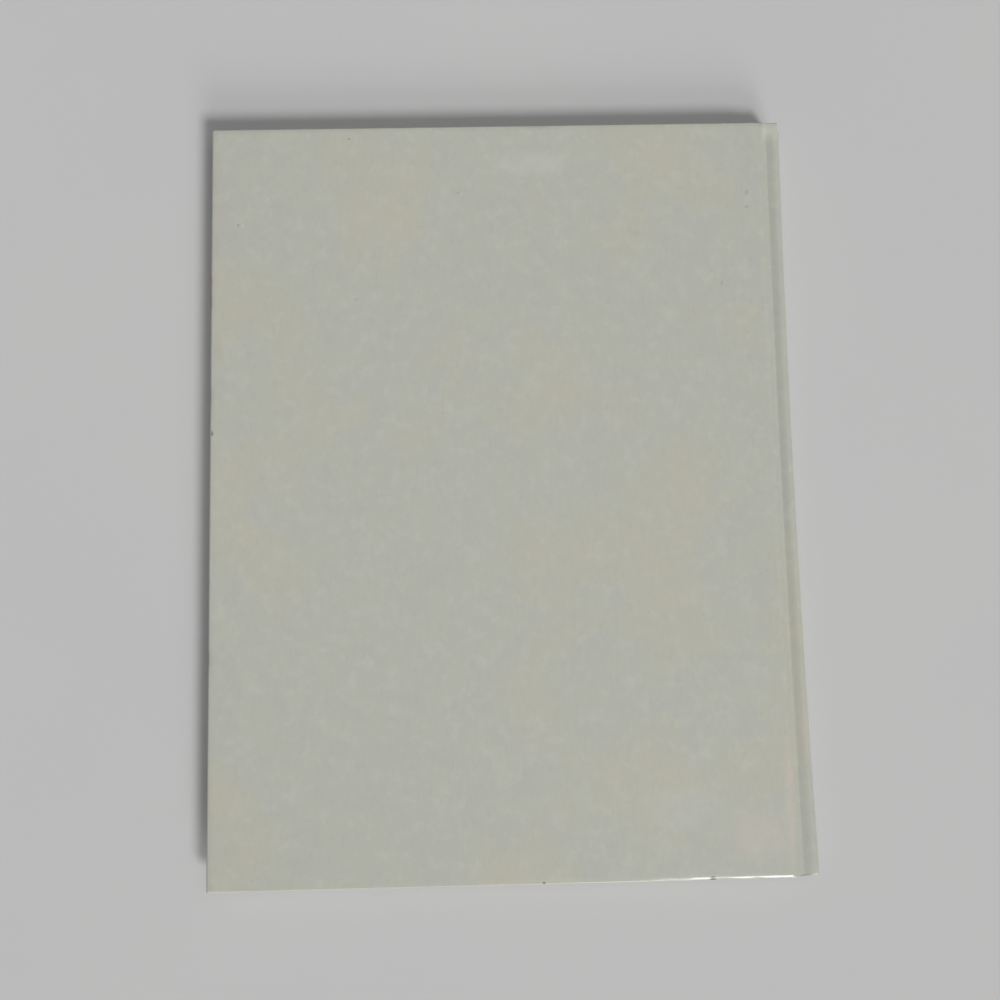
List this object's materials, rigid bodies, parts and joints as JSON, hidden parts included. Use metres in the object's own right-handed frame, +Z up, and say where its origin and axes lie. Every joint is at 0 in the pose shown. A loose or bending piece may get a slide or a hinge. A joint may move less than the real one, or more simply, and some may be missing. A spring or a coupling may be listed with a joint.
{
  "type": "hardcover book",
  "caption": "Thin large-format case-bound book with stiff laminated boards, grooved joints, a rounded spine and covers that open.",
  "frame": {"origin": "centre of the book's lowest face, which lies on the table", "axes": "+X to the spine, +Y to the head, +Z up through the back cover, which lies on top"},
  "size_m": [0.2226, 0.2862, 0.0104],
  "materials": {
    "laminated_sheet": "gloss",
    "grey_board": "matte",
    "leaf_paper": "matte",
    "endpaper": "matte",
    "lining_paper": "matte",
    "headband_cloth": "matte"
  },
  "bodies": {
    "text_block": {"pages": "leaf_paper", "front_flyleaf": "endpaper", "back_flyleaf": "endpaper", "spine_lining": "lining_paper", "headband_head": "headband_cloth", "headband_tail": "headband_cloth", "spine_board": "grey_board", "spine_sheet": "laminated_sheet"},
    "front_cover": {"front_board": "grey_board", "front_cover_sheet": "laminated_sheet", "front_pastedown": "endpaper"},
    "back_cover": {"back_board": "grey_board", "back_cover_sheet": "laminated_sheet", "back_pastedown": "endpaper"}
  },
  "joints": [
    {"name": "back_cover_hinge", "type": "hinge", "parent": "text_block", "child": "back_cover", "pos_m": [0.10752, 0, 0.00786], "axis": [0, 1, 0], "range_deg": [0, 178]},
    {"name": "front_cover_hinge", "type": "hinge", "parent": "text_block", "child": "front_cover", "pos_m": [0.10752, 0, 0.00256], "axis": [0, -1, 0], "range_deg": [0, 178]}
  ]
}
